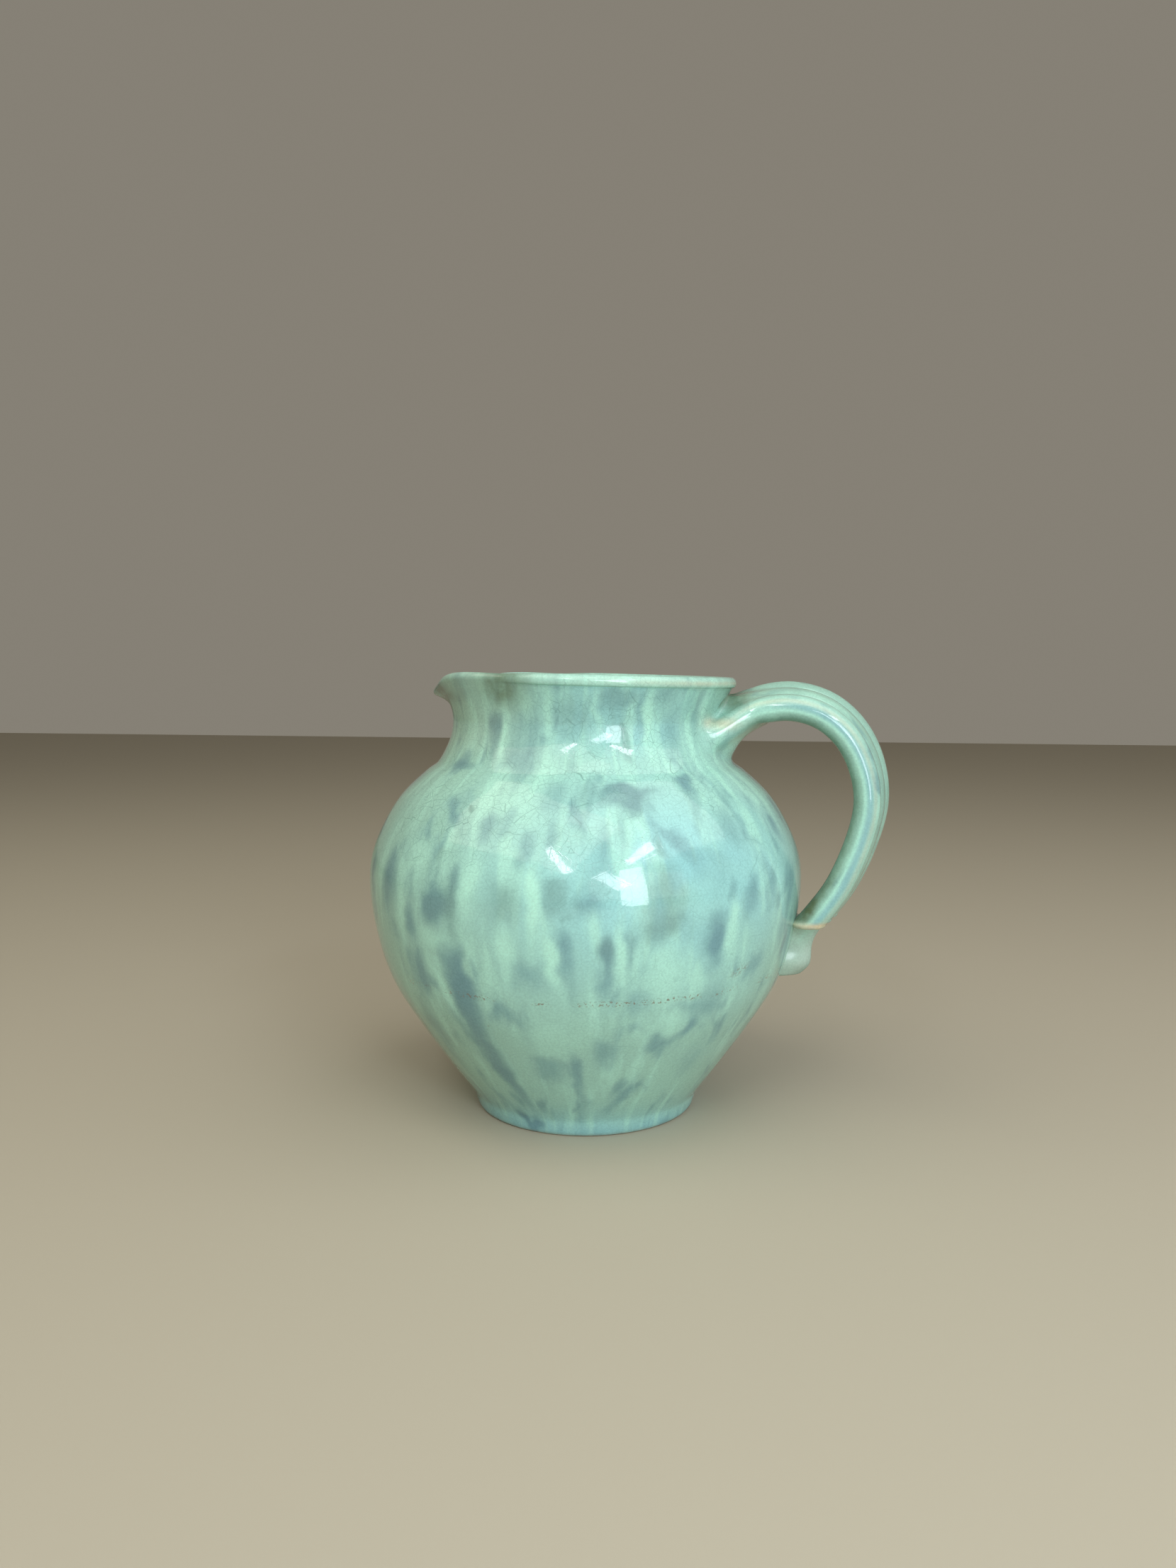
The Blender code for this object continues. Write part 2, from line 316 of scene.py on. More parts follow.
def build_neck():
    """The flaring wall from the crease to the rim."""
    lining = INNER[:, CREASE : RIM + 1][:, ::-1]
    return ring("neck_collar_glazed", OUTER[:, CREASE : RIM + 1], lining)


def build_mouth():
    """The rounded band round the mouth and the pouring lip, which share one section."""
    outer, inner = OUTER[:, RIM:], INNER[:, RIM:]
    middle = (outer[:, -1] + inner[:, -1]) / 2.0
    arm = outer[:, -1] - middle
    across = np.stack([-arm[:, 1], arm[:, 0]], axis=1)
    turn = (np.arange(1, CAP_STEPS) * math.pi / CAP_STEPS)[None, :, None]
    cap = middle[:, None] + arm[:, None] * np.cos(turn) + across[:, None] * np.sin(turn)
    section = np.concatenate([outer, cap, inner[:, ::-1]], axis=1)
    off = np.abs(DEGREES - 180.0)
    lip = np.flatnonzero(off <= LIP_HALF_ANGLE)
    band = np.r_[lip[-1] : TURNS, 0 : lip[0] + 1]
    grid = revolve(DEGREES, section)
    rim = make_mesh("rim_band_glazed", grid[band], False, True, True)
    return rim, make_mesh("pour_lip_glazed", grid[lip], False, True, True)


def build_floor():
    """The disc inside the foot, with faint throwing rings. Its sizes are in mm."""
    edge = INNER_RADIUS_IN_MM
    radii = np.linspace(edge, 1.0, 34)
    ripple = 0.25 * np.cos(radii * 1.1) * smooth(radii, 1.0, 12.0) * smooth(edge - radii, 0.0, 4.0)
    dome = 0.5 * (1.0 - (radii / edge) ** 2)
    top = np.stack([radii, FLOOR_TOP_IN_MM + 0.9 * ripple], axis=1)
    under = np.stack([radii, FLOOR_UNDERSIDE_IN_MM + 0.35 * ripple + dome], axis=1)
    rings = revolve(DEGREES, fixed(*under[::-1], *top)).transpose(1, 0, 2)
    return make_mesh("floor_slab_glazed", rings, False, True, True)


def build_vessel():
    pieces = {"foot_ring": build_foot(), "belly_wall": build_belly(), "neck_collar": build_neck()}
    pieces["rim_band"], pieces["pour_lip"] = build_mouth()
    pieces["floor_slab"] = build_floor()
    return pieces


# ---------------------------------------------------------------- the handle
RINGS = 240
SIDES = 64
END_LIP = 1.7 * MM  # the cut lower end is rounded by this much


def strand_path(side):
    """Centres, and the across and outward directions, of one strand; with its half sizes."""
    line = even(spline(HANDLE_LINE, 16) * MM, 1.0 * MM)
    want = np.linspace(0.0, len(line) - 1.0, RINGS)
    at = np.stack([np.interp(want, np.arange(len(line)), line[:, k]) for k in (0, 1)], axis=1)
    share = np.linspace(0.0, 1.0, RINGS)
    along = unit(np.gradient(at, axis=0))
    for _ in range(8):
        along[1:-1] = unit(along[:-2] + 2 * along[1:-1] + along[2:])
    zero = np.zeros(RINGS)
    normal = np.stack([-along[:, 1], zero, along[:, 0]], axis=1)
    lean = np.radians(
        TWIST_AT_TOP + (TWIST_AT_BOTTOM - TWIST_AT_TOP) * smooth((share - 0.2) / 0.8)
    )[:, None]
    sideways = np.array([[0.0, 1.0, 0.0]])
    across = sideways * np.cos(lean) + normal * np.sin(lean)
    up = normal * np.cos(lean) - sideways * np.sin(lean)
    pitch = STRAND_PITCH * (1.0 + BOTTOM_SPREAD * smooth((share - 0.6) / 0.3))
    root = smooth(1.0 - share / 0.17)
    centre = np.stack([AXIS_X + at[:, 0], zero, at[:, 1]], axis=1)
    centre = centre + across * (side * (pitch + ROOT_SPREAD * root))[:, None]
    centre[:, 2] -= ROOT_DROP * root * abs(side)
    inner_half = pitch * 0.5 * 1.6
    outer_half = pitch * 0.5 + 0.1 * MM
    low = np.where(side < 0, outer_half, inner_half)
    high = np.where(side > 0, outer_half, inner_half)
    return centre, across, up, low, high


PATHS = {side: strand_path(side) for side in (-1, 0, 1)}
FIRST_HALF = np.arange(RINGS) < RINGS // 2


def reach_of(side):
    """How far a strand's middle is from the vessel's axis, all along it."""
    centre = PATHS[side][0]
    return np.hypot(centre[:, 0] - AXIS_X, centre[:, 1])


def tube_of(side, scale):
    """Rings of points round a strand's middle, its half sizes scaled ring by ring."""
    centre, across, up, low, high = PATHS[side]
    turn = 2.0 * math.pi * np.arange(SIDES) / SIDES
    half = np.where(np.cos(turn)[None] < 0.0, low[:, None], high[:, None]) * scale[:, None]
    wide = (np.cos(turn)[None] * half)[..., None] * across[:, None]
    tall = (scale[:, None] * np.sin(turn)[None] * STRAND_HALF_THICKNESS)[..., None] * up[:, None]
    return centre[:, None] + wide + tall


def strand(name, side):
    """One strand: round where it is free, and cut level at its lower end."""
    reach = reach_of(side)
    before = FIRST_HALF & (reach < ROOT_REACH)
    slim = ROOT_TAPER + (1.0 - ROOT_TAPER) * smooth(reach, TAPER_FROM, TAPER_TO)
    first = int(np.flatnonzero(reach > STRAND_START)[0])
    tube = tube_of(side, np.where(before, slim, 1.0))[first:]
    out = np.empty((len(tube), SIDES, 3))
    places = np.arange(len(tube))
    for k in range(SIDES):
        z = tube[:, k, 2]
        last = int(np.flatnonzero((z > CUT_Z) & (places > len(tube) // 2))[-1])
        part = (z[last] - CUT_Z) / (z[last] - z[last + 1])
        want = np.linspace(0.0, last + part, len(tube))
        for c in range(3):
            out[:, k, c] = np.interp(want, places, tube[:, k, c])
    end = out[-1]
    middle = end.mean(axis=0)
    inward = unit((middle - end) * (1.0, 1.0, 0.0))
    bends = np.radians(np.linspace(15.0, 90.0, 6))[:, None, None]
    lip = end[None] + inward[None] * END_LIP * (1.0 - np.cos(bends))
    lip = lip - np.array((0.0, 0.0, END_LIP)) * np.sin(bends)
    return make_mesh(name, np.vstack([out, lip]), False, True, True)


def pad(name, stations, root, sides=40, rows=40):
    """A pad on the wall from (height, face, half width) stations, rounded in plan."""
    line = even(spline(stations, 12) * MM, 0.3 * MM)
    turn = np.pi * (np.linspace(0.0, 1.0, sides + 1) - 0.5)
    bulge = np.cos(turn) ** 0.8
    reach = root + (line[:, 1:2] - root) * bulge[None]
    y = line[:, 2:3] * np.sin(turn)[None]
    z = np.broadcast_to(line[:, 0:1], y.shape)
    grid = np.stack([AXIS_X + reach, y, z], axis=2)
    return make_mesh(name, grid, False, True, True)


# ---------------------------------------------------------------- the web under the handle's root
ROOT_PAD = (  # height, distance of the face from the axis, half width, in mm
    (161.5, 66.2, 8.0),
    (163.5, 67.6, 11.5),
    (166.0, 69.4, 15.5),
    (169.5, 71.2, 20.0),
    (173.0, 74.2, 23.0),
    (176.5, 79.5, 24.0),
    (179.5, 86.0, 21.0),
    (182.0, 91.0, 14.0),
    (185.0, 95.0, 12.0),
)
ROOT_PAD_SHIFT = 7.0 * MM  # the top of the pad leans under the far strand
ROOT_SECTOR = 42.0
ROOT_REACH = 103.0 * MM
ROOT_TAPER = 0.72
TAPER_FROM, TAPER_TO = 64.0 * MM, 88.0 * MM  # each strand grows to its full size between these
STRAND_START = 58.5 * MM
STUB_START = 60.0 * MM
SLICE_LOW = 150.0 * MM
SLICE_DEPTH = 3.4 * MM
PAD_ROOT = 60.0 * MM  # the pad begins this far from the axis, inside the neck's wall
ROOT_VOXEL = 0.7 * MM
ROOT_ROUNDS = 90
SUNK = 0.35 * MM


def sector_of_wall():
    """A thin slice of the wall behind the handle, sunk a little below the surface."""
    off = (DEGREES + 180.0) % 360.0 - 180.0
    turns = np.flatnonzero(np.abs(off) < ROOT_SECTOR)
    turns = turns[np.argsort(off[turns])]
    first = int(np.argmin(np.abs(OUTER[0, : CREASE + 1, 1] - SLICE_LOW)))
    face, back = OUTER[turns, first : RIM - 2], INNER[turns, first : RIM - 2]
    skin = face + (back - face) * SUNK / WALL
    deep = face + (back - face) * SLICE_DEPTH / WALL
    section = np.concatenate([skin, deep[:, ::-1]], axis=1)
    return make_mesh("wall_slice", revolve(off[turns], section), False, True, True)


def stub(side):
    """The first stretch of a strand, thicker than it at the neck and thinner further out."""
    reach = reach_of(side)
    scale = 1.05 - 0.12 * smooth(reach, 70.0 * MM, 90.0 * MM)
    keep = (reach > STUB_START) & FIRST_HALF & (reach < ROOT_REACH)
    return make_mesh(f"stub_{side}", tube_of(side, scale)[keep], False, True, True)


def pad_core():
    """The wedge of clay under the handle, wrapped round the neck."""
    line = spline(ROOT_PAD, 6) * MM
    turn = np.pi * (np.linspace(0.0, 1.0, 41) - 0.5)
    bulge = np.cos(turn)[None] ** 0.7
    lean = ROOT_PAD_SHIFT * smooth(line[:, 0:1], 177.0 * MM, 182.0 * MM)
    y = line[:, 2:3] * np.sin(turn)[None] + lean
    base = np.sqrt(PAD_ROOT**2 - y**2)
    x = base + (line[:, 1:2] - PAD_ROOT) * bulge
    grid = np.stack([AXIS_X + x, y, np.broadcast_to(line[:, 0:1], y.shape)], axis=2)
    return make_mesh("pad_core", grid, False, True, True)


def relax(points, edges, rounds):
    """Move every point towards its neighbours, so that hollows fill and edges sink."""
    a, b = edges[:, 0], edges[:, 1]
    count = np.bincount(np.concatenate([a, b]), minlength=len(points))[:, None]
    for _ in range(rounds):
        total = np.stack(
            [
                np.bincount(a, points[b, k], len(points)) + np.bincount(b, points[a, k], len(points))
                for k in range(3)
            ],
            axis=1,
        )
        points = points + 0.5 * (total / count - points)
    return points


def blend_parts(name, parts, voxel, rounds):
    """One closed skin over overlapping parts, relaxed until its corners are soft."""
    joined = bmesh.new()
    for part in parts:
        joined.from_mesh(part.data)
        bpy.data.objects.remove(part)
    mesh = bpy.data.meshes.new(name)
    joined.to_mesh(mesh)
    joined.free()
    made = bpy.data.objects.new(name, mesh)
    bpy.context.collection.objects.link(made)
    blend = made.modifiers.new("blend", "REMESH")
    blend.mode = "VOXEL"
    blend.voxel_size = voxel
    graph = bpy.context.evaluated_depsgraph_get()
    blended = bpy.data.meshes.new_from_object(made.evaluated_get(graph))
    made.modifiers.clear()
    made.data = blended
    p = np.empty(len(blended.vertices) * 3)
    blended.vertices.foreach_get("co", p)
    edges = np.empty(len(blended.edges) * 2, int)
    blended.edges.foreach_get("vertices", edges)
    p = relax(p.reshape(-1, 3), edges.reshape(-1, 2), rounds)
    blended.vertices.foreach_set("co", p.ravel())
    blended.update()
    blended.shade_smooth()
    return made


def root_web():
    """The clay smoothed between the handle's root and the neck, as one closed piece."""
    parts = [sector_of_wall(), pad_core()]
    parts += [stub(side) for side in (-1, 0, 1)]
    return blend_parts("handle_root_pad_glazed", parts, ROOT_VOXEL, ROOT_ROUNDS)


# ---------------------------------------------------------------- the tail and its knob
TAIL_VOXEL = 0.55 * MM
TAIL_ROUNDS = 36
KNOB_TOP = 76.6 * MM
TAIL_ROOT = 86.0 * MM  # the tail and the knob begin this far from the axis, inside the wall
KNOB_ROOT = 78.0 * MM


def half_of(piece, name, height, keep_above):
    """A closed part of a piece on one side of a level cut."""
    cut = bmesh.new()
    cut.from_mesh(piece.data)
    every = list(cut.verts) + list(cut.edges) + list(cut.faces)
    done = bmesh.ops.bisect_plane(
        cut,
        geom=every,
        plane_co=(0.0, 0.0, height),
        plane_no=(0.0, 0.0, 1.0),
        clear_inner=keep_above,
        clear_outer=not keep_above,
    )
    rim = [part for part in done["geom_cut"] if isinstance(part, bmesh.types.BMEdge)]
    bmesh.ops.holes_fill(cut, edges=rim, sides=0)
    bmesh.ops.recalc_face_normals(cut, faces=cut.faces)
    mesh = bpy.data.meshes.new(name)
    cut.to_mesh(mesh)
    cut.free()
    mesh.shade_smooth()
    mesh.set_sharp_from_angle(angle=math.radians(60.0))
    made = bpy.data.objects.new(name, mesh)
    bpy.context.collection.objects.link(made)
    return made


def tail_and_knob():
    """The clay drawn down below the cut end, with its knob, divided where the knob begins."""
    parts = [pad("tail_core", TAIL, TAIL_ROOT), pad("knob_core", KNOB, KNOB_ROOT)]
    whole = blend_parts("tail_whole", parts, TAIL_VOXEL, TAIL_ROUNDS)
    tail = half_of(whole, "handle_tail_glazed", KNOB_TOP, True)
    knob = half_of(whole, "tail_knob_glazed", KNOB_TOP, False)
    bpy.data.objects.remove(whole)
    return tail, knob


SIDE_OF = {"handle_coil_near": -1, "handle_coil_mid": 0, "handle_coil_far": 1}

pieces = build_vessel()
pieces["handle_root_pad"] = root_web()
for node, side in SIDE_OF.items():
    pieces[node] = strand(node + "_glazed", side)
pieces["handle_tail"], pieces["tail_knob"] = tail_and_knob()

# ---------------------------------------------------------------- dabs and runs of the glaze
# Most rows are marks in the photo, turned into directions and heights by a program and rounded.
DABS = (  # direction, height, half width, half height in mm, lean in degrees, depth, greyness
    # neck
    (-117, 179, 4.5, 7.0, 0, 0.75, 0.4),
    (-131, 165, 4.0, 6.0, 25, 0.5, 0.2),
    (-130, 161, 8.0, 2.4, 0, 0.55, 0.2),
    (-107, 180, 4.0, 8.0, 0, 0.4, 0.2),
    (-100, 177, 4.0, 9.0, 0, 0.45, 0.2),
    (-105, 166, 8.0, 5.0, 0, 0.45, 0.2),
    (-84, 185, 9.0, 9.0, 0, 0.42, 0.3),
    (-67, 192, 9.0, 3.6, 0, 0.55, 0.5),
    (-67, 181, 5.0, 8.0, 0, 0.35, 0.9),
    (-57, 184, 2.8, 8.5, 0, 0.5, 0.1),
    (-50, 192, 6.0, 3.6, 0, 0.5, 0.4),
    (-43, 179, 5.0, 8.0, 0, 0.45, 0.1),
    (-31, 187, 4.0, 9.0, 0, 0.45, 0.2),
    (-15, 174, 4.0, 7.0, 0, 0.4, 0.1),
    (-133, 197, 7.0, 4.0, 0, 0.45, 0.5),
    # shoulder
    (-67, 153.5, 12.0, 3.4, 0, 0.85, 0.4),
    (-45, 158, 5.0, 2.4, 0, 0.6, 0.2),
    (-46, 153, 4.0, 8.0, 10, 0.5, 0.1),
    (-88, 152, 4.5, 6.0, -15, 0.45, 0.1),
    (-118, 145, 6.5, 2.8, 30, 0.65, 0.1),
    (-115, 151, 5.0, 3.0, 30, 0.35, 0.1),
    (-105, 141, 3.6, 5.0, 0, 0.6, 0.1),
    (-100, 144, 3.2, 5.0, 10, 0.6, 0.1),
    (-125, 136, 6.0, 3.0, 0, 0.35, 0.1),
    (-94, 135, 3.2, 6.5, 0, 0.52, 0.1),
    (-87, 138, 3.2, 4.0, 0, 0.5, 0.1),
    (-75, 138, 2.8, 6.0, 0, 0.42, 0.1),
    (-70, 141, 2.4, 6.5, 0, 0.4, 0.1),
    (-60, 141, 3.0, 6.0, -35, 0.5, 0.1),
    (-55, 133, 3.2, 6.5, -35, 0.55, 0.1),
    (-38, 139, 7.0, 7.0, -20, 0.48, 0.3),
    (-46, 125, 9.0, 8.0, 0, 0.38, 0.2),
    (-17, 136, 4.5, 5.5, -20, 0.65, 0.1),
    (-5, 141, 5.0, 5.0, 10, 0.5, 0.2),
    # widest part
    (-136, 124, 5.0, 6.0, 0, 0.6, 0.1),
    (-136, 112, 6.0, 9.0, 0, 0.6, 0.1),
    (-117, 110, 6.0, 6.0, 25, 0.85, 0.3),
    (-112, 111, 5.0, 9.0, 0, 0.62, 0.9),
    (-110, 121, 4.0, 5.5, 0, 0.6, 0.4),
    (-98, 114, 7.5, 8.5, 0, 0.5, 0.9),
    (-86, 116, 5.5, 6.0, 0, 0.62, 0.7),
    (-76, 124, 6.0, 10.0, 0, 0.35, 0.1),
    # Partly a grey-green dab and partly a painted reflection of the room.
    (-60, 118, 9.0, 10.0, 0, 0.55, 0.9),
    (-61, 104, 11.0, 5.0, 0, 0.5, 0.8),
    (-36, 111, 5.0, 7.5, 10, 0.62, 0.1),
    (-18, 106, 6.0, 5.5, 0, 0.45, 0.1),
    (-28, 121, 3.5, 8.0, 0, 0.4, 0.1),
    (-126, 101, 4.0, 8.0, -15, 0.65, 0.1),
    (-84, 95, 3.8, 6.5, -10, 0.62, 0.0),
    (-74, 96, 3.4, 5.0, 0, 0.95, 0.4),
    (-74, 87, 1.2, 7.0, 0, 0.45, 0.2),
    (-69, 95, 2.4, 7.5, 0, 0.55, 0.2),
    (-47, 99, 7.0, 9.0, 0, 0.66, 0.1),
    (-46, 94, 3.0, 5.0, 15, 0.8, 0.0),
    (-33, 82, 4.0, 6.0, 20, 0.5, 0.0),
    (-20, 92, 4.0, 8.0, 0, 0.4, 0.1),
    # below the widest part
    (-94, 85, 10.0, 7.0, 0, 0.52, 0.1),
    (-111, 87, 3.6, 9.0, -10, 0.65, 0.1),
    (-115, 91, 3.4, 7.0, 0, 0.6, 0.1),
    (-112, 75, 6.0, 9.0, -15, 0.85, 0.1),
    (-127, 79, 5.0, 8.0, 0, 0.5, 0.1),
    (-75, 77, 5.5, 9.0, 0, 0.42, 0.0),
    (-83, 80, 4.5, 7.5, 0, 0.38, 0.1),
    (-66, 73, 6.0, 7.5, 0, 0.5, 0.0),
    (-44, 73, 9.0, 6.0, 0, 0.38, 0.1),
    (-50, 66, 10.0, 5.0, 0, 0.4, 0.1),
    (-112, 62, 8.0, 8.0, 0, 0.62, 0.2),
    (-110, 45, 6.5, 12.0, -15, 0.66, 0.3),
    (-95, 60, 3.6, 7.0, 0, 0.35, 0.2),
    (-90, 40, 7.0, 7.5, 0, 0.55, 0.3),
    (-82, 38, 2.4, 8.5, -10, 0.66, 0.1),
    (-73, 49, 5.5, 7.0, 10, 0.5, 0.1),
    (-57, 51, 5.5, 4.0, 30, 0.66, 0.0),
    (-50, 56, 3.0, 4.5, 35, 0.6, 0.0),
    (-43, 40, 7.0, 6.0, 0, 0.35, 0.1),
    (-64, 25, 4.0, 9.0, 25, 0.58, 0.1),
    (-107, 28, 3.2, 12.0, -15, 0.6, 0.2),
    (-110, 7, 1.8, 6.0, -30, 0.95, 0.0),
    (-103, 4, 3.0, 3.0, 0, 0.9, 0.0),
    (-80, 16, 3.0, 10.0, 0, 0.4, 0.1),
    (-130, 50, 6.0, 14.0, 0, 0.45, 0.4),
)
RUNS = (  # direction, height, half width, half height in mm, lean in degrees, depth
    (-112, 177, 1.6, 9.0, 0, 1.0),
    (-93, 186, 2.0, 11.0, 0, 0.7),
    (-75, 190, 1.4, 8.0, 0, 0.6),
    (-54, 184, 2.6, 12.0, 0, 1.0),
    (-33, 177, 2.0, 11.0, 0, 0.8),
    (-9, 172, 5.0, 6.0, 0, 0.9),
    (-107, 119, 3.6, 10.0, 5, 1.0),
    (-91, 116, 2.8, 13.0, 0, 1.0),
    (-98, 93, 3.2, 10.0, 0, 0.9),
    (-87, 92, 2.2, 11.0, -12, 1.0),
    (-71, 94, 2.2, 11.0, 0, 0.9),
    (-60, 86, 8.0, 10.0, 0, 0.7),
    (-117, 95, 9.0, 5.0, 0, 0.8),
    (-118, 73, 1.8, 12.0, -20, 1.0),
    (-42, 101, 3.0, 11.0, 0, 0.8),
    (-130, 107, 2.6, 11.0, 0, 0.8),
    (-77, 73, 2.2, 9.0, 0, 0.7),
    (-88, 56, 11.0, 7.0, 0, 0.5),
    (-56, 60, 4.5, 5.0, 0, 0.8),
    (-100, 150, 10.0, 7.0, 0, 0.5),
    (-125, 128, 7.0, 6.0, 0, 0.7),
)
UNSEEN = (15.0, 205.0)  # directions of the side that faces away
MORE_DABS = 95
MORE_RUNS = 30


def far_side():
    """Dabs and runs like the near side's, strewn over the side that faces away."""
    pick = np.random.default_rng(14)
    dabs, runs = [], []
    for k in range(MORE_DABS):
        height = pick.uniform(12.0, 192.0)
        narrow = 0.6 if height > 158.0 else 1.0
        dabs.append(
            (
                pick.uniform(*UNSEEN),
                height,
                pick.uniform(2.8, 8.5) * narrow,
                pick.uniform(4.0, 10.0) * narrow,
                pick.normal(0.0, 13.0),
                pick.uniform(0.35, 0.75),
                pick.uniform(0.0, 0.9) ** 2,
            )
        )
    for k in range(MORE_RUNS):
        place = (pick.uniform(*UNSEEN), pick.uniform(50.0, 185.0))
        runs.append((*place, pick.uniform(1.6, 4.5), pick.uniform(7.0, 13.0), 0.0, 0.85))
    return DABS + tuple(dabs), RUNS + tuple(runs)


ALL_DABS, ALL_RUNS = far_side()
GRAIN = np.random.default_rng(5).random((32, 32, 32))


def grain(p, size):
    """Smooth noise between 0 and 1 at the given points, with features of about this size."""
    q = p / size
    cell = np.floor(q).astype(int)
    t = smooth(q - cell)
    total = np.zeros(len(p))
    for corner in np.ndindex(2, 2, 2):
        share = np.prod(np.where(np.array(corner) == 1, t, 1.0 - t), axis=1)
        total += share * GRAIN[tuple(((cell + corner) % 32).T)]
    return total


def strokes(p, marks):
    """How much of each mark lies at each point, as (points, marks)."""
    bend = 3.4 * MM * (np.stack([grain(p + shift, 8.0 * MM) for shift in (0.3, 0.6)], axis=1) - 0.5)
    bend += 1.6 * MM * (np.stack([grain(p + shift, 3.5 * MM) for shift in (0.1, 0.8)], axis=1) - 0.5)
    x, y, z = p[:, 0] - AXIS_X, p[:, 1], p[:, 2]
    turn, reach = np.arctan2(y, x), np.hypot(x, y)
    shares = []
    for mark in marks:
        direction, height, wide, tall, lean, depth = mark[:6]
        off = (turn - math.radians(direction) + math.pi) % (2.0 * math.pi) - math.pi
        u = off * reach + bend[:, 0]
        v = z - height * MM + 2.0 * bend[:, 1]
        tilt = math.radians(lean)
        across = (u * math.cos(tilt) - v * math.sin(tilt)) / (wide * MM)
        down = (u * math.sin(tilt) + v * math.cos(tilt)) / (tall * MM)
        down = np.where(down < 0.0, down * 0.72, down * 1.1)
        square = across**2 + down**2
        shares.append(depth * np.exp(-0.62 * square ** 1.35))
    return np.stack(shares, axis=1)


# ---------------------------------------------------------------- surface masks, kept on the points


def points_of(piece):
    flat = np.empty(len(piece.data.vertices) * 3, np.float32)
    piece.data.vertices.foreach_get("co", flat)
    return flat.reshape(-1, 3).astype(float)


def store(piece, name, values):
    """Keep one number, or one vector, per point for the shader to read."""
    kind = "FLOAT_VECTOR" if values.ndim == 2 else "FLOAT"
    layer = piece.data.attributes.new(name, kind, "POINT")
    layer.data.foreach_set("vector" if values.ndim == 2 else "value", values.astype(np.float32).ravel())


def around_lip(p):
    """Angle from the lip's direction in degrees, negative on the near side of the pitcher."""
    turn = np.degrees(np.arctan2(p[:, 1], p[:, 0] - AXIS_X))
    return np.where(turn > 0.0, 180.0 - turn, -180.0 - turn)


def vessel_flow(p):
    """Coordinates that follow the glaze as it runs down the wall."""
    x, y, z = p[:, 0] - AXIS_X, p[:, 1], p[:, 2]
    reach = np.maximum(np.hypot(x, y), 1e-6)
    line = OUTER[0]
    step = np.concatenate([[0.0], np.cumsum(np.linalg.norm(np.diff(line, axis=0), axis=1))])
    along = np.interp(z, line[:, 1], step)
    shrink = FLOW_RADIUS * smooth(reach, 0.0, 0.045) / reach
    return np.stack([x * shrink, y * shrink, along], axis=1)


SCUFF_DIRECTION = -37.3
SCUFF_Z = 79.3 * MM
SCUFF_RADIUS = 95.0 * MM
SCUFF_SLOPE = 0.25
FLOW_RADIUS = 0.085  # the glaze's pattern is laid out on a cylinder of this radius
BELLY_BLUE = (-58.0, 120.0 * MM)  # direction and height of the bluest part of the belly
NECK_BLUE = -66.0
ROOT_TIP = (-18.0, 179.5 * MM)  # direction and height of the near strand's pointed end


def scuff(p):
    """A short chipped scratch on the belly, sloping up towards the handle."""
    turn = np.degrees(np.arctan2(p[:, 1], p[:, 0] - AXIS_X)) - SCUFF_DIRECTION
    across = turn / 360.0 * 2.0 * math.pi * SCUFF_RADIUS
    down = p[:, 2] - SCUFF_Z - SCUFF_SLOPE * across
    return bell(across, 4.0 * MM) * bell(down, 1.3 * MM)


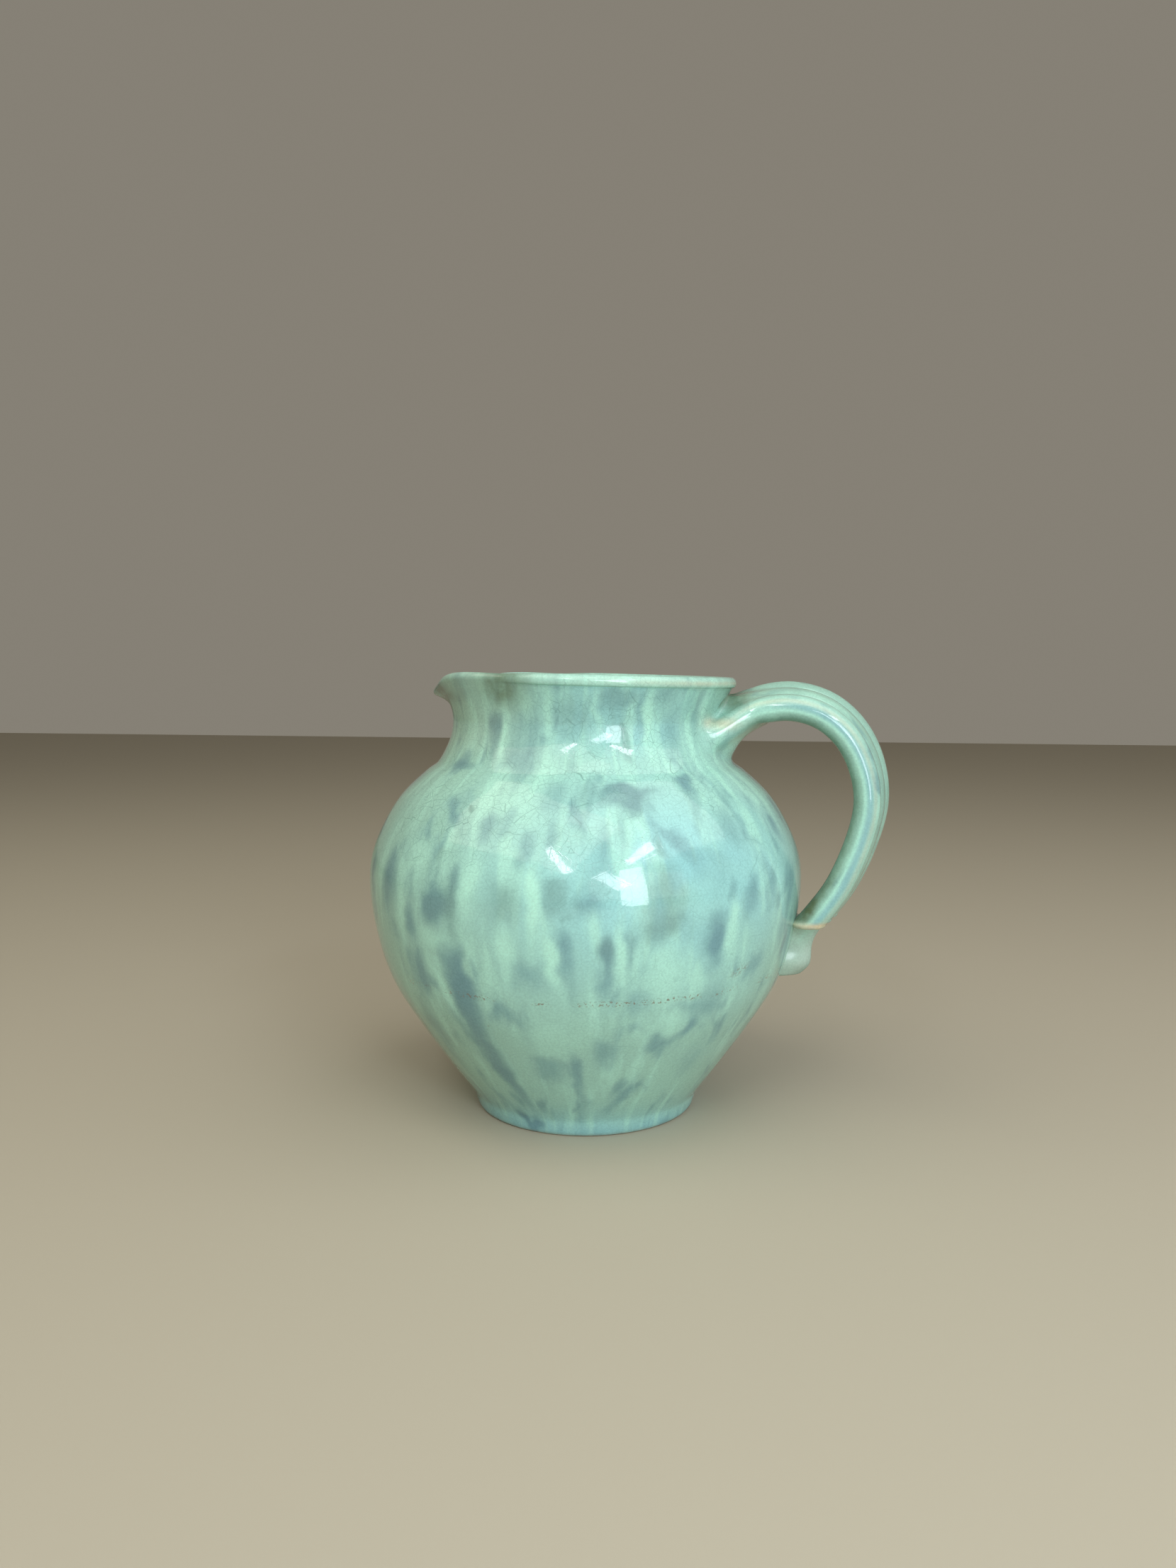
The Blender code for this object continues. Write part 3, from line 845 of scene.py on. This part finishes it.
def vessel_look(p):
    """Paint, stains with painted shade under the beak, flow and crazing at points on the vessel."""
    x, y, z = p[:, 0] - AXIS_X, p[:, 1], p[:, 2]
    reach, turn = np.hypot(x, y), np.degrees(np.arctan2(y, x))
    off = around_lip(p)
    outer_wall = smooth(reach - np.interp(z, OUTER[0][:, 1], OUTER[0][:, 0]), -4.5 * MM, -2.5 * MM)
    dab_shares = strokes(p, ALL_DABS)
    dabs = 1.0 - np.prod(1.0 - dab_shares, axis=1)
    tones = np.array([mark[6] for mark in ALL_DABS])
    grey = (dab_shares @ tones) / np.maximum(dab_shares.sum(axis=1), 1e-6)
    runs = 1.0 - np.prod(1.0 - strokes(p, ALL_RUNS), axis=1)

    near_pinch = bell(off + PINCH_ANGLE, 11.0) * smooth(z, 0.181, 0.195)
    far_pinch = 0.6 * bell(off - 68.0, 9.0) * smooth(z, 0.186, 0.196)
    # Painted shade under the beak: the wall just below the lip is darkened with olive and blue.
    under_beak = bell(np.abs(off) - 20.0, 11.0) * bell(z - 0.1945, 0.0035)
    under_beak = np.maximum(under_beak, 0.7 * bell(np.abs(off) - 26.0, 14.0) * bell(z - 0.1905, 0.0042))
    under_beak *= smooth(reach, 0.062, 0.0645)
    warm = 0.11 * bell(off + 50.0, 26.0) * smooth(z, 0.160, 0.176) * (1.0 - near_pinch)
    rim_low = 0.45 * bell(z - (RIM_SHOULDER_Z - RIM_RISE * x + 0.9 * MM), 1.1 * MM)
    rim_low *= smooth(np.abs(off), 95.0, 150.0) * smooth(reach, 0.064, 0.067)
    tip = bell(turn - ROOT_TIP[0], 5.0) * bell(z - ROOT_TIP[1], 2.8 * MM)
    bare = smooth(0.0009 - z, 0.0, 0.0006)
    thin = np.clip(rim_low + bare + 0.55 * tip + warm, 0.0, 1.0)
    pool_and_shade = np.clip(0.85 * (near_pinch + far_pinch) + 0.75 * under_beak, 0.0, 1.0)
    blue = np.clip(under_beak + 0.6 * smooth(0.007 - z, 0.0, 0.006), 0.0, 1.0)
    calmer = 1.0 - 0.45 * smooth(z, 0.186, 0.196)
    belly_blue = bell(turn - BELLY_BLUE[0], 42.0) * bell(z - BELLY_BLUE[1], 36.0 * MM)
    neck_blue = bell(turn - NECK_BLUE, 28.0) * smooth(z, 0.162, 0.178)
    foot_blue = smooth(z, 0.022, 0.004)
    return {
        "paint": np.stack([dabs * outer_wall, grey, runs * outer_wall], axis=1),
        "stain_shade_and_sheen": np.stack([thin, pool_and_shade, blue], axis=1),
        "flow": vessel_flow(p),
        "craze": (0.35 + 0.65 * smooth(z, 0.10, 0.15)) * calmer,
        "grip": 1.0 - np.clip(0.95 * belly_blue + 0.75 * neck_blue + 0.6 * foot_blue, 0.0, 1.0),
        "scuff": scuff(p),
    }


def strand_look(p, side):
    """The look at points on one strand of the handle, and how far they are from its middle."""
    centre, across, up, _, _ = PATHS[side]
    nearest = np.empty(len(p), int)
    for i in range(0, len(p), 2000):
        gap = np.linalg.norm(p[i : i + 2000, None] - centre[None], axis=2)
        nearest[i : i + 2000] = gap.argmin(axis=1)
    offset = p - centre[nearest]
    wide = np.einsum("ij,ij->i", offset, across[nearest]) / STRAND_PITCH
    tall = np.einsum("ij,ij->i", offset, up[nearest]) / STRAND_HALF_THICKNESS
    run = nearest / RINGS
    end = bell(p[:, 2] - CUT_Z, 1.3 * MM) + 0.5 * smooth(CUT_Z - p[:, 2], 0.5 * MM, 1.5 * MM)
    end = end * (1.0 if side < 0 else smooth(tall, 0.8, 0.2))
    ridge = bell(tall - 0.72, 0.16) * bell(wide - 0.30 * side, 0.12)
    thin = np.clip(0.9 * end * smooth(run, 0.6, 0.7) + 0.30 * ridge, 0.0, 1.0)
    # Painted shade: the inner side of each strand is darkened with olive, more so low down and in the
    # crease where it meets the body. The far strands are a little darker all along.
    inner = smooth(-tall, -0.25, 0.70)
    low = smooth(run, 0.66, 0.84) * inner
    crease = smooth(run, 0.80, 0.88) * smooth(-tall, -0.45, 0.25)
    dull = 0.0 if side < 0 else 0.2
    pool_and_shade = np.clip(dull + 0.62 * inner + 0.30 * low + 0.50 * crease, 0.0, 1.0) * (1.0 - end)
    # Painted reflection: a pale blue band along the outer side of each strand.
    outer = bell(tall - 0.42, 0.26) * smooth(run, 0.12, 0.30)
    # Painted highlight: a pale stripe along the middle of each strand's side, kept as the paint's third
    # number, which the glaze uses like a run.
    pale = bell(tall - 0.05, 0.16) * smooth(run, 0.05, 0.20)
    beside = (side + wide) * STRAND_PITCH
    look = {
        "paint": np.outer(0.9 * pale, (0.0, 0.0, 1.0)),
        "stain_shade_and_sheen": np.stack([thin, pool_and_shade, 0.95 * outer], axis=1),
        "flow": np.stack([FLOW_RADIUS + tall * 0.008, beside, 0.2 + run * 0.25], axis=1),
        "craze": np.full(len(p), 0.35),
        "grip": np.ones(len(p)),
        "scuff": np.zeros(len(p)),
    }
    return look, np.linalg.norm(offset, axis=1)


def web_look(p):
    """The vessel's look near the neck, changing to the nearest strand's look further out."""
    look = vessel_look(p)
    reach = np.hypot(p[:, 0] - AXIS_X, p[:, 1])
    share = smooth(reach, 0.068, 0.084)
    strands = [strand_look(p, side) for side in (-1, 0, 1)]
    pick = np.stack([gap for _, gap in strands]).argmin(axis=0)
    for name, near in look.items():
        each = np.stack([other[name] for other, _ in strands])
        far = each[pick, np.arange(len(p))]
        part = share if near.ndim == 1 else share[:, None]
        look[name] = near + (far - near) * part
    turn = np.degrees(np.arctan2(p[:, 1], p[:, 0] - AXIS_X))
    # Painted shade in the nook between the neck and the handle's root, as olive.
    nook = smooth(p[:, 2], 0.183, 0.1895) * smooth(reach, 0.082, 0.069)
    nook = nook * smooth(np.abs(turn), 32.0, 14.0)
    look["stain_shade_and_sheen"][:, 1] = np.maximum(look["stain_shade_and_sheen"][:, 1], 0.9 * nook)
    return look


def tail_look(p):
    """The look at points on the tail and its knob, which carry no painted marks of glaze; the lower part of
    the knob gets painted shade.
    """
    # Painted shade: the lower part of the knob is darkened with olive.
    low = smooth(p[:, 2], 0.0735, 0.0665)
    zero = np.zeros(len(p))
    return {
        "paint": np.zeros((len(p), 3)),
        "stain_shade_and_sheen": np.stack([zero, 0.35 * low, zero], axis=1),
        "flow": vessel_flow(p),
        "craze": np.full(len(p), 0.2),
        "grip": np.ones(len(p)),
        "scuff": np.zeros(len(p)),
    }


def keep_look(piece, look):
    for name, values in look.items():
        store(piece, name, values)


# ---------------------------------------------------------------- the glaze
MINT = (0.290, 0.590, 0.625)
PALE = (0.430, 0.760, 0.640)
LEAF = (0.350, 0.610, 0.500)
GRIP = (0.335, 0.580, 0.500)
BLUE_GREY = (0.155, 0.305, 0.340)
GREEN_GREY = (0.180, 0.320, 0.295)
BUFF = (0.62, 0.50, 0.32)
# Olive for the darker pinches and for painted shade. The blue for pooled glaze at the foot, for painted
# shade under the beak and for a painted reflection along the strands.
OLIVE = (0.100, 0.130, 0.065)
POOL_SHADE_AND_SHEEN_BLUE = (0.17, 0.36, 0.42)
CRACK = (0.05, 0.13, 0.12)
RUST = (0.17, 0.085, 0.04)
RIM_TINT = (0.40, 0.66, 0.57)
TAIL_TINT = (0.41, 0.54, 0.465)
TAIL_DULLNESS = 0.14
PITTED_LINE_Z = 71.2 * MM


class Glaze:
    """A Principled material, with short calls that add its nodes."""

    def __init__(self, name):
        self.material = bpy.data.materials.new(name)
        self.material.use_nodes = True
        self.tree = self.material.node_tree
        self.shader = self.tree.nodes["Principled BSDF"]

    def put(self, socket, value):
        if isinstance(value, bpy.types.NodeSocket):
            self.tree.links.new(value, socket)
        else:
            socket.default_value = value

    def add(self, kind, values, output=0, **settings):
        node = self.tree.nodes.new(kind)
        for key, value in settings.items():
            setattr(node, key, value)
        for key, value in values.items():
            self.put(node.inputs[key], value)
        return node.outputs[output]

    def attribute(self, name, output="Fac"):
        return self.add("ShaderNodeAttribute", {}, output, attribute_name=name)

    def parts(self, name):
        """The three numbers of a vector attribute."""
        node = self.tree.nodes.new("ShaderNodeSeparateXYZ")
        self.put(node.inputs[0], self.attribute(name, "Vector"))
        return tuple(node.outputs)

    def math(self, operation, a, b=0.0, c=0.0):
        values = {0: a, 1: b, 2: c}
        return self.add("ShaderNodeMath", values, operation=operation)

    def times(self, a, b):
        return self.math("MULTIPLY", a, b)

    def ease(self, value, low, high, start=0.0, end=1.0):
        values = {"Value": value, "From Min": low, "From Max": high, "To Min": start, "To Max": end}
        return self.add("ShaderNodeMapRange", values, interpolation_type="SMOOTHSTEP")

    def noise(self, vector, scale, detail=2.0, roughness=0.5, distortion=0.0, output="Fac"):
        values = {
            "Vector": vector,
            "Scale": scale,
            "Detail": detail,
            "Roughness": roughness,
            "Distortion": distortion,
        }
        return self.add("ShaderNodeTexNoise", values, output)

    def scaled(self, vector, factors, shift=(0.0, 0.0, 0.0)):
        values = {0: vector, 1: factors, 2: shift}
        return self.add("ShaderNodeVectorMath", values, operation="MULTIPLY_ADD")

    def mix(self, share, a, b):
        values = {0: share, 6: a, 7: b}
        return self.add("ShaderNodeMix", values, 2, data_type="RGBA")


def rgba(colour):
    return (*colour, 1.0)


def crack_lines(glaze, place, scale, width, shift):
    """Fine lines between the cells of a crazed glaze."""
    values = {"Vector": glaze.scaled(place, (1.0, 1.0, 1.0), shift), "Scale": scale}
    gap = glaze.add("ShaderNodeTexVoronoi", values, "Distance", feature="DISTANCE_TO_EDGE")
    return glaze.ease(gap, 0.0, width, 1.0, 0.0)


def make_glaze(name, dab_share=1.0, tint=MINT, grip=GRIP, dullness=0.0):
    """The crackled glaze: the masks kept on the points, with streaks, cracks and pits added."""
    glaze = Glaze(name)
    place = glaze.add("ShaderNodeTexCoord", {}, "Object")
    flow = glaze.attribute("flow", "Vector")
    dabs, grey, runs = glaze.parts("paint")
    thin, pool_and_shade, blue = glaze.parts("stain_shade_and_sheen")

    wash = glaze.ease(glaze.noise(place, 24.0, 2.0), 0.42, 0.70, 0.0, 0.45)
    ground = glaze.mix(glaze.attribute("grip"), rgba(tint), rgba(grip))
    colour = glaze.mix(wash, ground, rgba(LEAF))
    broad_streaks = glaze.noise(glaze.scaled(flow, (1.0, 1.0, 0.22)), 120.0, 2.0, 0.5, 0.3)
    fine_streaks = glaze.noise(glaze.scaled(flow, (1.0, 1.0, 0.12)), 330.0, 2.0)
    pale = glaze.ease(broad_streaks, 0.46, 0.68, 0.0, 0.65)
    # On the handle's strands the runs number holds a painted highlight.
    pale = glaze.math("MAXIMUM", pale, runs)
    colour = glaze.mix(pale, colour, rgba(PALE))

    smudge = glaze.noise(glaze.scaled(flow, (1.0, 1.0, 0.5), (0.3, 0.1, 0.2)), 75.0, 2.5, 0.5, 0.3)
    smudge = glaze.ease(smudge, 0.47, 0.74, 0.0, 0.62 * dab_share)
    smudge = glaze.times(smudge, glaze.math("SUBTRACT", 1.0, runs))
    ragged = glaze.math("ADD", glaze.times(broad_streaks, 0.30), glaze.times(fine_streaks, 0.22))
    ragged = glaze.math("SUBTRACT", ragged, 0.26)
    level = glaze.math("ADD", dabs, glaze.times(ragged, glaze.ease(dabs, 0.0, 0.3)))
    level = glaze.times(level, glaze.math("SUBTRACT", 1.0, glaze.times(runs, 0.75)))
    level = glaze.math("MAXIMUM", level, smudge)
    level = glaze.ease(level, 0.0, 0.9)
    tone = glaze.mix(grey, rgba(BLUE_GREY), rgba(GREEN_GREY))
    colour = glaze.mix(level, colour, tone)

    # The blue mask is pooled glaze at the foot, painted shade under the beak and a painted reflection along
    # the strands. The olive mask is the darker pinches and painted shade under the beak, in the handle's
    # hollows and at the knob.
    colour = glaze.mix(glaze.times(blue, 0.7), colour, rgba(POOL_SHADE_AND_SHEEN_BLUE))
    uneven = glaze.ease(glaze.noise(place, 160.0, 3.0), 0.3, 0.7, 0.75, 1.0)
    colour = glaze.mix(glaze.times(pool_and_shade, uneven), colour, rgba(OLIVE))
    thin = glaze.times(thin, uneven)
    colour = glaze.mix(thin, colour, rgba(BUFF))
    speckle = glaze.ease(glaze.noise(place, 1100.0, 2.0), 0.3, 0.7, 0.94, 1.05)
    values = {0: colour, "Scale": speckle}
    colour = glaze.add("ShaderNodeVectorMath", values, operation="SCALE")

    bent = glaze.noise(place, 70.0, 1.0, 0.5, 0.0, "Color")
    values = {0: bent, 1: (0.0025, 0.0025, 0.0025), 2: place}
    crooked = glaze.add("ShaderNodeVectorMath", values, operation="MULTIPLY_ADD")
    coarse = crack_lines(glaze, crooked, 150.0, 0.016, (0.0, 0.0, 0.0))
    fine = crack_lines(glaze, crooked, 350.0, 0.036, (0.5, 0.2, 0.7))
    patchy = glaze.ease(glaze.noise(place, 26.0, 2.0), 0.38, 0.62, 0.55, 1.0)
    lines = glaze.math("MAXIMUM", glaze.times(coarse, 0.50), glaze.times(fine, 0.36))
    lines = glaze.times(lines, glaze.times(patchy, glaze.attribute("craze")))
    colour = glaze.mix(lines, colour, rgba(CRACK))

    cell = {"Vector": place, "Scale": 95.0}
    near = glaze.add("ShaderNodeTexVoronoi", cell, "Distance")
    pick = glaze.add("ShaderNodeTexVoronoi", cell, "Color")
    chosen = glaze.math("GREATER_THAN", glaze.add("ShaderNodeSeparateColor", {0: pick}), 0.90)
    pits = glaze.times(glaze.ease(near, 0.022, 0.045, 1.0, 0.0), chosen)
    colour = glaze.mix(glaze.times(pits, 0.8), colour, rgba(RUST))

    height = glaze.add("ShaderNodeSeparateXYZ", {0: place}, "Z")
    line = glaze.math("ABSOLUTE", glaze.math("SUBTRACT", height, PITTED_LINE_Z))
    line = glaze.ease(line, 0.0004, 0.0018, 1.0, 0.0)
    grit = glaze.ease(glaze.noise(place, 1000.0, 3.0), 0.56, 0.62)
    run = glaze.ease(glaze.noise(place, 55.0, 1.0), 0.45, 0.55)
    line = glaze.times(glaze.times(line, grit), run)
    line = glaze.times(line, glaze.ease(glaze.attribute("craze"), 0.25, 0.30))
    chips = glaze.ease(glaze.noise(place, 700.0, 2.0), 0.42, 0.52)
    line = glaze.math("MAXIMUM", line, glaze.times(glaze.attribute("scuff"), chips))
    colour = glaze.mix(glaze.times(line, 0.7), colour, rgba(RUST))
    glaze.put(glaze.shader.inputs["Base Color"], colour)

    rough = glaze.ease(glaze.noise(place, 70.0, 3.0), 0.3, 0.7, 0.03 + dullness, 0.08 + dullness)
    rough = glaze.math("ADD", rough, glaze.times(glaze.math("ADD", pits, line), 0.35))
    rough = glaze.math("ADD", rough, glaze.times(thin, 0.12))
    glaze.put(glaze.shader.inputs["Roughness"], rough)
    glaze.shader.inputs["IOR"].default_value = 1.5

    swell = glaze.noise(glaze.scaled(place, (1.0, 1.0, 0.8)), 42.0, 2.0, 0.45)
    values = {"Height": swell, "Distance": 0.0005, "Strength": 1.0}
    broad = glaze.add("ShaderNodeBump", values, "Normal")
    relief = glaze.math("ADD", glaze.times(lines, -0.5), glaze.times(pits, -1.0))
    values = {"Height": relief, "Distance": 0.00008, "Strength": 0.6, "Normal": broad}
    glaze.put(glaze.shader.inputs["Normal"], glaze.add("ShaderNodeBump", values, "Normal"))
    return glaze.material


for node, piece in pieces.items():
    points = points_of(piece)
    if node in SIDE_OF:
        keep_look(piece, strand_look(points, SIDE_OF[node])[0])
    elif node == "handle_root_pad":
        keep_look(piece, web_look(points))
    elif node in ("handle_tail", "tail_knob"):
        keep_look(piece, tail_look(points))
    else:
        keep_look(piece, vessel_look(points))

GLAZES = {
    "vessel": make_glaze("glaze_on_vessel"),
    "rim": make_glaze("glaze_on_rim", dab_share=0.6, tint=RIM_TINT),
    "tail": make_glaze("glaze_on_tail", dab_share=0.4, grip=TAIL_TINT, dullness=TAIL_DULLNESS),
}
USES = {
    "rim_band": "rim",
    "pour_lip": "rim",
    "handle_tail": "tail",
    "tail_knob": "tail",
}

for node, piece in pieces.items():
    piece.data.materials.clear()
    piece.data.materials.append(GLAZES[USES.get(node, "vessel")])
    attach(piece, "root")
    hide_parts(node)

# ---------------------------------------------------------------- camera
CAMERA_YAW = 11.0  # degrees
CAMERA_PITCH = 5.38
CAMERA_DISTANCE = 0.548
CAMERA_HEIGHT = 0.2015
AXIS_OFFSET = -0.00115  # how far the vessel's axis stands to the right of the camera's
SENSOR_IN_MM = 36.0
LENS_IN_MM = SENSOR_IN_MM * 1661.0 / 2212.0  # the fitted focal length, over the image's height


def add_camera():
    yaw, pitch = math.radians(CAMERA_YAW), math.radians(CAMERA_PITCH)
    right = Vector((math.cos(yaw), math.sin(yaw), 0.0))
    level = Vector((-math.sin(yaw), math.cos(yaw), 0.0))
    ahead = level * math.cos(pitch) - Vector((0.0, 0.0, math.sin(pitch)))
    above = right.cross(ahead)
    data = bpy.data.cameras.new("camera")
    data.sensor_width = SENSOR_IN_MM
    data.lens = LENS_IN_MM
    camera = bpy.data.objects.new("camera", data)
    bpy.context.collection.objects.link(camera)
    place = Vector((AXIS_X, 0.0, CAMERA_HEIGHT)) - right * AXIS_OFFSET - level * CAMERA_DISTANCE
    turn = Matrix((right, above, -ahead)).transposed().to_4x4()
    turn.translation = place
    camera.matrix_world = turn
    bpy.context.scene.camera = camera
    return right, level


RIGHT, LEVEL = add_camera()


# ---------------------------------------------------------------- lamps
def spot(sideways, ahead, up):
    """A place given as the viewer sees it: to the right, away and up from the vessel's axis."""
    return Vector((AXIS_X, 0.0, 0.0)) + RIGHT * sideways + LEVEL * ahead + Vector((0, 0, up))


def add_area(name, turn, rise, wide, tall, distance, radiance, colour, roll):
    """A soft rectangle of light seen from the belly at these angles, in degrees, from the viewer."""
    across, up = math.radians(turn), math.radians(rise)
    heading = RIGHT * (math.sin(across) * math.cos(up)) - LEVEL * (math.cos(across) * math.cos(up))
    heading.z = math.sin(up)
    size = [2.0 * distance * math.tan(math.radians(angle) / 2.0) for angle in (wide, tall)]
    data = bpy.data.lights.new(name, "AREA")
    data.shape = "RECTANGLE"
    data.size, data.size_y = size
    data.energy = radiance * math.pi * size[0] * size[1]
    data.color = colour
    lamp = bpy.data.objects.new(name, data)
    bpy.context.collection.objects.link(lamp)
    turned = (-heading).to_track_quat("-Z", "Y").to_matrix().to_4x4()
    lamp.matrix_world = turned @ Matrix.Rotation(math.radians(roll), 4, "Z")
    lamp.location = LIT_POINT + heading * distance


LIT_POINT = spot(0.03, -0.09, 0.125)
DAYLIGHT = (0.93, 0.98, 1.0)
BLUE_SKY = (0.82, 0.94, 1.0)
CREAM = (1.0, 0.99, 0.96)
WARM = (1.0, 0.94, 0.78)
IVORY = (1.0, 0.98, 0.94)
LAMPS = (  # name, turn, rise, wide, tall, distance, radiance, colour, roll
    ("window", 24, 14, 13, 36, 0.95, 8.5, BLUE_SKY, 0),
    ("window_side", 13, 22, 20, 9, 0.95, 8.5, BLUE_SKY, -50),
    ("strip_left", -17, 38, 18, 4.5, 1.1, 12.0, DAYLIGHT, -52),
    ("strip_right", 33, 41, 20, 4.5, 1.1, 12.0, DAYLIGHT, 24),
    ("softbox", 60, 60, 60, 50, 1.5, 1.3, CREAM, 0),
    ("fill", -50, 58, 70, 45, 1.5, 1.5, WARM, 0),
    ("low_fill", 28, 14, 50, 24, 1.5, 0.9, IVORY, 0),
)
for lamp in LAMPS:
    add_area(*lamp)

# ---------------------------------------------------------------- the room and the floor
ROOM_LIGHT = (0.95, 0.87, 0.72)
ROOM_STRENGTH = 0.25
FLOOR_COLOUR = (0.42, 0.385, 0.31)
FLOOR_ROUGHNESS = 0.8
FLOOR_HALF = 3.0


def add_room():
    """An even warm light from all round."""
    world = bpy.data.worlds.new("studio")
    bpy.context.scene.world = world
    world.use_nodes = True
    sky = world.node_tree.nodes["Background"]
    sky.inputs["Color"].default_value = rgba(ROOM_LIGHT)
    sky.inputs["Strength"].default_value = ROOM_STRENGTH


def add_floor():
    """A plain pale floor at the height that the foot stands on."""
    far = FLOOR_HALF
    mesh = bpy.data.meshes.new("floor")
    mesh.from_pydata([(-far, -far, 0), (far, -far, 0), (far, far, 0), (-far, far, 0)], [], [(0, 1, 2, 3)])
    floor = bpy.data.objects.new("floor", mesh)
    bpy.context.collection.objects.link(floor)
    material = bpy.data.materials.new("floor")
    material.use_nodes = True
    shader = material.node_tree.nodes["Principled BSDF"]
    shader.inputs["Base Color"].default_value = rgba(FLOOR_COLOUR)
    shader.inputs["Roughness"].default_value = FLOOR_ROUGHNESS
    mesh.materials.append(material)


bpy.context.scene.view_settings.view_transform = "Standard"
add_room()
add_floor()
